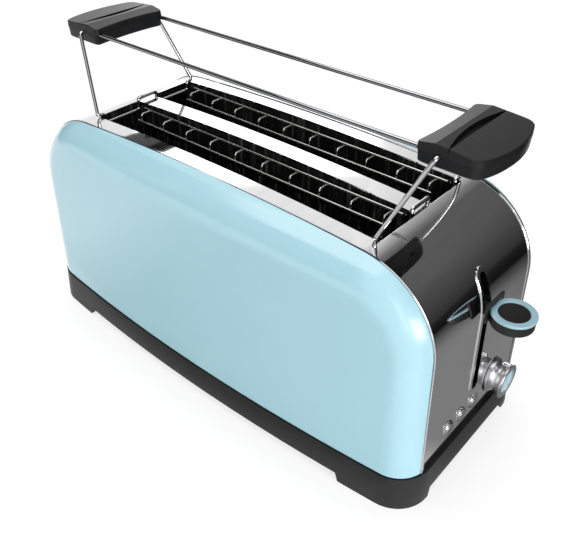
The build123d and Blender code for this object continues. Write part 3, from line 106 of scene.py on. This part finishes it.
def enamel(name, colour, coat=0.6, coat_rough=0.17):
    material, tree, shader = new_material(name)
    place = coordinates(tree)
    stops = [(0.35, shade(colour, 0.985)), (0.65, shade(colour, 1.015))]
    tree.links.new(ramp(tree, noise(tree, place, 9.0, detail=3.0), stops), shader.inputs["Base Color"])
    tree.links.new(spread(tree, noise(tree, place, 160.0), 0.2, 0.27), shader.inputs["Roughness"])
    shader.inputs["Coat Weight"].default_value = coat
    shader.inputs["Coat Roughness"].default_value = coat_rough
    bump(tree, shader, noise(tree, place, 420.0, detail=2.0), 0.04, GRAIN)
    return material


def plastic(name, colour, rough, grain=1400.0, strength=0.12, coat=0.0, level=0.3):
    material, tree, shader = new_material(name)
    place = coordinates(tree)
    stops = [(0.3, shade(colour, 0.85)), (0.7, shade(colour, 1.2))]
    mottle = noise(tree, place, 60.0, detail=5.0)
    scuffs = noise(tree, place, 300.0, detail=5.0)
    tree.links.new(ramp(tree, mottle, stops), shader.inputs["Base Color"])
    tree.links.new(spread(tree, scuffs, *rough), shader.inputs["Roughness"])
    shader.inputs["Specular IOR Level"].default_value = level
    if coat:
        shader.inputs["Coat Weight"].default_value = coat
        shader.inputs["Coat Roughness"].default_value = 0.08
    bump(tree, shader, noise(tree, place, grain, detail=3.0), strength, GRAIN)
    return material


def metal(name, colour, rough, stretch=(1, 1, 1), grain=600.0, strength=0.02, dark=None, edge=1.0):
    # edge is the tint of the reflections at a grazing angle
    material, tree, shader = new_material(name)
    shader.inputs["Specular Tint"].default_value = (edge, edge, edge, 1.0)
    place = coordinates(tree, stretch)
    stops = [(0.3, dark or shade(colour, 0.93)), (0.7, colour)]
    mottle = noise(tree, place, 40.0, detail=5.0)
    tree.links.new(ramp(tree, mottle, stops), shader.inputs["Base Color"])
    shader.inputs["Metallic"].default_value = 1.0
    tree.links.new(spread(tree, noise(tree, place, grain), *rough), shader.inputs["Roughness"])
    bump(tree, shader, noise(tree, place, grain, detail=2.0), strength, SMOOTH)
    return material


def zinc(name):
    # the spangle of a zinc coat
    material, tree, shader = new_material(name)
    place = coordinates(tree)
    cells = tree.nodes.new("ShaderNodeTexVoronoi")
    cells.inputs["Scale"].default_value = 210.0
    tree.links.new(place, cells.inputs["Vector"])
    grey = tree.nodes.new("ShaderNodeRGBToBW")
    tree.links.new(cells.outputs["Color"], grey.inputs[0])
    stops = [(0.1, (0.42, 0.43, 0.44)), (0.9, (0.54, 0.55, 0.56))]
    tree.links.new(ramp(tree, grey.outputs[0], stops), shader.inputs["Base Color"])
    shader.inputs["Metallic"].default_value = 1.0
    tree.links.new(spread(tree, grey.outputs[0], 0.28, 0.45), shader.inputs["Roughness"])
    bump(tree, shader, noise(tree, place, 300.0), 0.05, GRAIN)
    return material


def streaked(name, pale):
    # dark sheet with faint upright streaks; on the mica boards the dark is painted shade
    material, tree, shader = new_material(name)
    place = coordinates(tree, (1, 1, 0.05))
    stops = [(0.48, (0.004, 0.004, 0.004)), (0.58, (0.02, 0.019, 0.018)), (0.66, pale)]
    streaks = noise(tree, place, 240.0, detail=6.0, rough=0.7)
    tree.links.new(ramp(tree, streaks, stops), shader.inputs["Base Color"])
    tree.links.new(spread(tree, noise(tree, place, 200.0), 0.4, 0.7), shader.inputs["Roughness"])
    shader.inputs["Specular IOR Level"].default_value = 0.12
    bump(tree, shader, noise(tree, place, 240.0, detail=6.0), 0.3, COARSE)
    return material


def winding(name, colour, turns):
    material, tree, shader = new_material(name)
    place = coordinates(tree)
    wave = tree.nodes.new("ShaderNodeTexWave")
    wave.bands_direction = "Z"
    wave.inputs["Scale"].default_value = turns
    wave.inputs["Distortion"].default_value = 0.4
    tree.links.new(place, wave.inputs["Vector"])
    # the dark bands between the turns are painted shade in the grooves
    stops = [(0.1, shade(colour, 0.35)), (0.8, colour)]
    tree.links.new(ramp(tree, wave.outputs["Fac"], stops), shader.inputs["Base Color"])
    shader.inputs["Metallic"].default_value = 1.0
    tree.links.new(spread(tree, noise(tree, place, 300.0), 0.25, 0.4), shader.inputs["Roughness"])
    bump(tree, shader, wave.outputs["Fac"], 0.5, COARSE)
    return material


def board(name):
    # brick pattern turned to lie along the upright board, for its traces
    material, tree, shader = new_material(name)
    place = coordinates(tree)
    traces = tree.nodes.new("ShaderNodeTexBrick")
    traces.inputs["Scale"].default_value = 120.0
    traces.inputs["Color1"].default_value = (0.012, 0.09, 0.045, 1)
    traces.inputs["Color2"].default_value = (0.014, 0.11, 0.055, 1)
    traces.inputs["Mortar"].default_value = (0.03, 0.2, 0.1, 1)
    traces.inputs["Mortar Size"].default_value = 0.04
    turn = tree.nodes.new("ShaderNodeVectorRotate")
    turn.rotation_type = "Y_AXIS"
    turn.inputs["Angle"].default_value = math.pi / 2
    tree.links.new(place, turn.inputs["Vector"])
    tree.links.new(turn.outputs[0], traces.inputs["Vector"])
    tree.links.new(traces.outputs["Color"], shader.inputs["Base Color"])
    tree.links.new(spread(tree, noise(tree, place, 200.0), 0.2, 0.35), shader.inputs["Roughness"])
    bump(tree, shader, traces.outputs["Fac"], 0.2, SMOOTH)
    return material


materials = {
    "black_plastic": plastic("base_black_plastic", (0.013, 0.013, 0.014), (0.38, 0.5)),
    "black_handle": plastic("handle_black_plastic", (0.011, 0.011, 0.012), (0.3, 0.4),
                            grain=1800.0, strength=0.08, level=0.22),
    "black_gloss": plastic("gloss_black_plastic", (0.008, 0.008, 0.009), (0.1, 0.18),
                           grain=500.0, strength=0.02, coat=0.2, level=0.12),
    "rubber": plastic("pad_rubber", (0.02, 0.02, 0.02), (0.75, 0.9), grain=900.0, strength=0.3),
    "black_sheet": plastic("black_coated_sheet", (0.004, 0.004, 0.004), (0.4, 0.55),
                           grain=900.0, strength=0.1, level=0.12),
    "screw_steel": metal("screw_steel", (0.5, 0.5, 0.51), (0.22, 0.38)),
    "black_screw": metal("black_screw", (0.03, 0.03, 0.032), (0.3, 0.45)),
    "polished_steel": metal("polished_steel", (0.78, 0.78, 0.785), (0.045, 0.07),
                            stretch=(4, 0.4, 0.4), grain=700.0, strength=0.01),
    "bright_chrome": metal("bright_chrome", (0.72, 0.72, 0.74), (0.06, 0.12),
                           grain=300.0, strength=0.01),
    # a darker copy of chrome with a near-black grazing tint: painted shade for the dark reflections on
    # the rack wires
    "wire_chrome_painted_dark": metal("wire_chrome_painted_dark", (0.34, 0.34, 0.35), (0.05, 0.1),
                         grain=300.0, strength=0.01, edge=0.06),
    # a dimmer copy of chrome: painted shade for the darker reflections on the rack legs and buttons
    "leg_chrome_painted_dim": metal("leg_chrome_painted_dim", (0.5, 0.5, 0.51), (0.03, 0.06),
                        grain=300.0, strength=0.01),
    "satin_chrome": metal("satin_chrome", (0.62, 0.62, 0.63), (0.29, 0.36), grain=400.0),
    "heating_ribbon": metal("heating_ribbon", (0.3, 0.29, 0.28), (0.35, 0.5), stretch=(1, 1, 0.2),
                            grain=300.0, strength=0.05, dark=(0.09, 0.075, 0.07)),
    "guide_wire": metal("guide_wire", (0.5, 0.5, 0.5), (0.2, 0.32),
                        grain=300.0, strength=0.03, dark=(0.36, 0.35, 0.34)),
    "spring_steel": metal("spring_steel", (0.3, 0.3, 0.32), (0.25, 0.35)),
    "blue_enamel": enamel("blue_enamel", PALE_BLUE),
    "ring_enamel": enamel("ring_enamel", RING_BLUE, coat=1.0, coat_rough=0.02),
    "zinc_sheet": zinc("zinc_sheet"),
    # the mica boards are near-black: painted shade deep in the slots
    "mica": streaked("mica_board_painted_shade", (0.26, 0.25, 0.24)),
    "liner": streaked("liner_sheet", (0.1, 0.1, 0.1)),
    "copper_winding": winding("copper_winding", (0.6, 0.26, 0.1), 900.0),
    "circuit_board": board("circuit_board"),
}

# Nodes whose finish differs from that of their material slot
finish_of = {
    # the rack wires, rack legs, buttons and button rings take chromes dimmed with painted shade
    "rack_wires": "wire_chrome_painted_dark",
    "rack_leg_right": "leg_chrome_painted_dim",
    "rack_leg_left": "leg_chrome_painted_dim",
    "button_1": "leg_chrome_painted_dim",
    "button_2": "leg_chrome_painted_dim",
    "button_3": "leg_chrome_painted_dim",
    "button_rings": "leg_chrome_painted_dim",
    "dial_knob": "satin_chrome",
    "dial_collar": "satin_chrome",
    "slot_frame": "liner",
    "lever_ring": "ring_enamel",
    "handle_screws": "black_screw",
}
slot_of = {part["node"]: part["material_slot"] for part in frame["record"]["subparts"]}
for name, piece in nodes.items():
    material = materials[finish_of.get(name, slot_of[name])]
    if len(piece.material_slots) == 0:
        piece.data.materials.append(material)
    for slot in piece.material_slots:
        slot.material = material


# Floor and world

WHITE = 1.0
FLOOR_HALF = 12.0
# how much of the lamps' light the floor sends back to the object
FLOOR_BOUNCE = 0.93
# what rays see of the floor: a grey that takes the shadow, and a glow that lifts it to white
FLOOR_SHADED = 0.32
FLOOR_GLOW = 0.74
# distances from the middle between which the glow rises to white, as the lamps fade there
GLOW_RISE_START = 1.0
GLOW_RISE_END = 3.0
WORLD_LIGHT = 0.5


def flat(x0, y0, x1, y1, z):
    return [(x0, y0, z), (x1, y0, z), (x1, y1, z), (x0, y1, z)]


def wall(x0, y0, x1, y1, top):
    return [(x0, y0, 0.0), (x1, y1, 0.0), (x1, y1, top), (x0, y0, top)]


def plane(name, corners, material):
    mesh = bpy.data.meshes.new(name)
    mesh.from_pydata(corners, [], [tuple(range(len(corners)))])
    mesh.update()
    sheet = bpy.data.objects.new(name, mesh)
    scene.collection.objects.link(sheet)
    mesh.materials.append(material)
    return sheet


def seen_directly(tree):
    # 1 for camera, glossy and transmission rays, 0 for the light on the object
    path = tree.nodes.new("ShaderNodeLightPath")
    first = tree.nodes.new("ShaderNodeMath")
    first.operation = "ADD"
    total = tree.nodes.new("ShaderNodeMath")
    total.operation = "ADD"
    total.use_clamp = True
    tree.links.new(path.outputs["Is Camera Ray"], first.inputs[0])
    tree.links.new(path.outputs["Is Glossy Ray"], first.inputs[1])
    tree.links.new(first.outputs[0], total.inputs[0])
    tree.links.new(path.outputs["Is Transmission Ray"], total.inputs[1])
    return total.outputs[0]


def by_ray(tree, lighting, seen, target):
    # one shader for the light on the object, another for what rays see
    mix = tree.nodes.new("ShaderNodeMixShader")
    tree.links.new(seen_directly(tree), mix.inputs[0])
    tree.links.new(lighting.outputs[0], mix.inputs[1])
    tree.links.new(seen.outputs[0], mix.inputs[2])
    tree.links.new(mix.outputs[0], target.inputs[0])


def diffuse(tree, grey):
    node = tree.nodes.new("ShaderNodeBsdfDiffuse")
    node.inputs["Color"].default_value = (grey, grey, grey, 1)
    return node


def background(tree, strength):
    node = tree.nodes.new("ShaderNodeBackground")
    node.inputs["Color"].default_value = (1, 1, 1, 1)
    node.inputs["Strength"].default_value = strength
    return node


floor_material, floor_tree, floor_output = empty_material("floor_white")
spot = floor_tree.nodes.new("ShaderNodeNewGeometry")
distance = floor_tree.nodes.new("ShaderNodeVectorMath")
distance.operation = "LENGTH"
floor_tree.links.new(spot.outputs["Position"], distance.inputs[0])
strength = spread(floor_tree, distance.outputs["Value"], FLOOR_GLOW, WHITE,
                  GLOW_RISE_START, GLOW_RISE_END)
glow = floor_tree.nodes.new("ShaderNodeEmission")
floor_tree.links.new(strength, glow.inputs["Strength"])
shaded_glow = floor_tree.nodes.new("ShaderNodeAddShader")
floor_tree.links.new(diffuse(floor_tree, FLOOR_SHADED).outputs[0], shaded_glow.inputs[0])
floor_tree.links.new(glow.outputs[0], shaded_glow.inputs[1])
by_ray(floor_tree, diffuse(floor_tree, FLOOR_BOUNCE), shaded_glow, floor_output)
plane("floor", flat(-FLOOR_HALF, -FLOOR_HALF, FLOOR_HALF, FLOOR_HALF, 0), floor_material)

world = bpy.data.worlds.new("studio")
scene.world = world
world.use_nodes = True
world_tree = world.node_tree
world_tree.nodes.clear()
world_output = world_tree.nodes.new("ShaderNodeOutputWorld")
by_ray(world_tree, background(world_tree, WORLD_LIGHT), background(world_tree, WHITE), world_output)


# Lamps: name, place, target, width, height, radiance

LAMPS = [
    ("softbox_top", (-0.25, 0.0, 1.7), (0, 0, 0.1), 1.7, 1.5, 1.85),
    ("softbox_back", (-1.75, 2.1, 1.0), (0, 0, 0.15), 1.6, 1.5, 1.3),
    ("softbox_front", (-1.5, -1.7, 1.1), (0, 0, 0.1), 1.6, 1.2, 0.9),
    ("strip_right", (1.15, -1.0, 0.5), (0.15, 0, 0.12), 0.3, 1.0, 2.2),
    ("softbox_right", (1.3, -0.35, 0.25), (0.19, -0.05, 0.1), 0.6, 0.45, 8.0),
]


def softbox(name, place, target, width, height, radiance):
    light = bpy.data.lights.new(name, "AREA")
    light.shape = "RECTANGLE"
    light.size = width
    light.size_y = height
    light.energy = radiance * math.pi * width * height
    lamp = bpy.data.objects.new(name, light)
    scene.collection.objects.link(lamp)
    lamp.location = place
    lamp.rotation_euler = (Vector(target) - lamp.location).to_track_quat("-Z", "Y").to_euler()
    lamp.visible_camera = False


for lamp_row in LAMPS:
    softbox(*lamp_row)


# Flags: grey cards around the set that only reflections see

RIGHT_X = 1.6
LEFT_X = -1.6
BACK_Y = 2.0
FADE_X = 0.03
WALL_TOP = 2.5
CARD_LIFT = 0.0006
ALONG_X = (1, 0, 0)
AGAINST_X = (-1, 0, 0)
UPWARD = (0, 0, 1)
AWAY_FROM_RIGHT_END = (0.4226, 0.9063, 0)


def graded(tree, axis, stops):
    # each stop is a distance in metres along the axis, and the grey there
    start, end = stops[0][0], stops[-1][0]
    geometry = tree.nodes.new("ShaderNodeNewGeometry")
    along = tree.nodes.new("ShaderNodeVectorMath")
    along.operation = "DOT_PRODUCT"
    along.inputs[1].default_value = axis
    tree.links.new(geometry.outputs["Position"], along.inputs[0])
    share = spread(tree, along.outputs["Value"], 0.0, 1.0, start, end)
    greys = [((at - start) / (end - start), (grey, grey, grey)) for at, grey in stops]
    return ramp(tree, share, greys)


def card(name, corners, greys, axis=None):
    # greys is one number all over, or the stops along the axis
    material, tree, output = empty_material(name + "_grey")
    emission = tree.nodes.new("ShaderNodeEmission")
    emission.inputs["Strength"].default_value = 1.0
    tree.links.new(emission.outputs[0], output.inputs[0])
    if axis is None:
        emission.inputs["Color"].default_value = (greys, greys, greys, 1.0)
    else:
        tree.links.new(graded(tree, axis, greys), emission.inputs["Color"])
    sheet = plane(name, corners, material)
    sheet.visible_camera = False
    sheet.visible_diffuse = False
    sheet.visible_shadow = False
    sheet.visible_transmission = False


WALL_GREYS = [(0.0, 0.035), (0.64, 0.074), (1.4, 0.115), (2.5, 0.14)]
FADE_GREYS = [(-0.03, 0.13), (0.218, 0.236), (0.476, 0.5), (0.63, 0.66),
              (0.8, 0.8), (1.02, 1.0), (1.1, 1.1)]
FLOOR_GREYS = [(-0.3, 0.9), (0.03, 0.85), (0.082, 0.25), (0.24, 0.24),
               (0.32, 0.17), (0.42, 0.09), (0.62, 0.008), (2.3, 0.03)]
FRONT_GREYS = [(-0.6, 1.0), (-0.28, 1.0), (-0.14, 0.3), (0.06, 0.25),
               (0.17, 0.25), (0.24, 1.0), (0.3, 1.0)]
LEFT_GREYS = [(0.0, 0.05), (0.5, 0.12), (1.2, 0.3)]
KEY_GREY = 0.02

card("flag_right", wall(RIGHT_X, -0.5, RIGHT_X, BACK_Y, WALL_TOP), WALL_GREYS, UPWARD)
card("flag_back", wall(RIGHT_X, BACK_Y, FADE_X, BACK_Y, WALL_TOP), WALL_GREYS, UPWARD)
card("flag_fade", wall(FADE_X, BACK_Y, -1.1, BACK_Y, WALL_TOP), FADE_GREYS, AGAINST_X)
card("flag_floor", flat(0.2, -0.4, RIGHT_X, BACK_Y, CARD_LIFT), FLOOR_GREYS, AWAY_FROM_RIGHT_END)
card("flag_left", wall(LEFT_X, 0.5, LEFT_X, -0.6, 1.2), LEFT_GREYS, UPWARD)
card("flag_key", [(-2.0, 0.35, 0.35), (-2.0, -1.5, 0.35), (-1.3, -1.0, 2.2), (-1.3, 0.3, 2.2)],
     KEY_GREY)
card("flag_key_front", [(-2.0, -1.6, 0.3), (0.1, -2.1, 0.3), (0.0, -1.4, 2.3), (-1.3, -1.1, 2.3)],
     KEY_GREY)
card("flag_front", flat(-0.6, -0.6, 0.3, -0.102, CARD_LIFT), FRONT_GREYS, ALONG_X)


# Camera at the photograph's angle, as solved on it in pixels

PHOTO_WIDTH = 561.0
PHOTO_HEIGHT = 550.0
FOCAL_PIXELS = 707.6
CENTRE_X = 281.6
CENTRE_Y = 275.2
CAMERA_PLACE = (0.3184, -0.3487, 0.4218)
YAW = math.radians(131.002)
PITCH = math.radians(-37.055)
ROLL = math.radians(-0.136)
SENSOR_WIDTH = 36.0

camera_data = bpy.data.cameras.new("photo_camera")
camera = bpy.data.objects.new("photo_camera", camera_data)
scene.collection.objects.link(camera)
forward = Vector((math.cos(PITCH) * math.cos(YAW), math.cos(PITCH) * math.sin(YAW), math.sin(PITCH)))
level = forward.cross(Vector(UPWARD)).normalized()
upright = level.cross(forward)
right = level * math.cos(ROLL) + upright * math.sin(ROLL)
up = upright * math.cos(ROLL) - level * math.sin(ROLL)
turned = Matrix((right, up, -forward)).transposed().to_4x4()
camera.matrix_world = Matrix.Translation(CAMERA_PLACE) @ turned
camera_data.sensor_fit = "HORIZONTAL"
camera_data.sensor_width = SENSOR_WIDTH
camera_data.lens = FOCAL_PIXELS * SENSOR_WIDTH / PHOTO_WIDTH
camera_data.shift_x = (PHOTO_WIDTH / 2 - CENTRE_X) / PHOTO_WIDTH
camera_data.shift_y = (CENTRE_Y - PHOTO_HEIGHT / 2) / PHOTO_WIDTH
camera_data.clip_start = 0.01
scene.camera = camera

scene.view_settings.view_transform = "Standard"
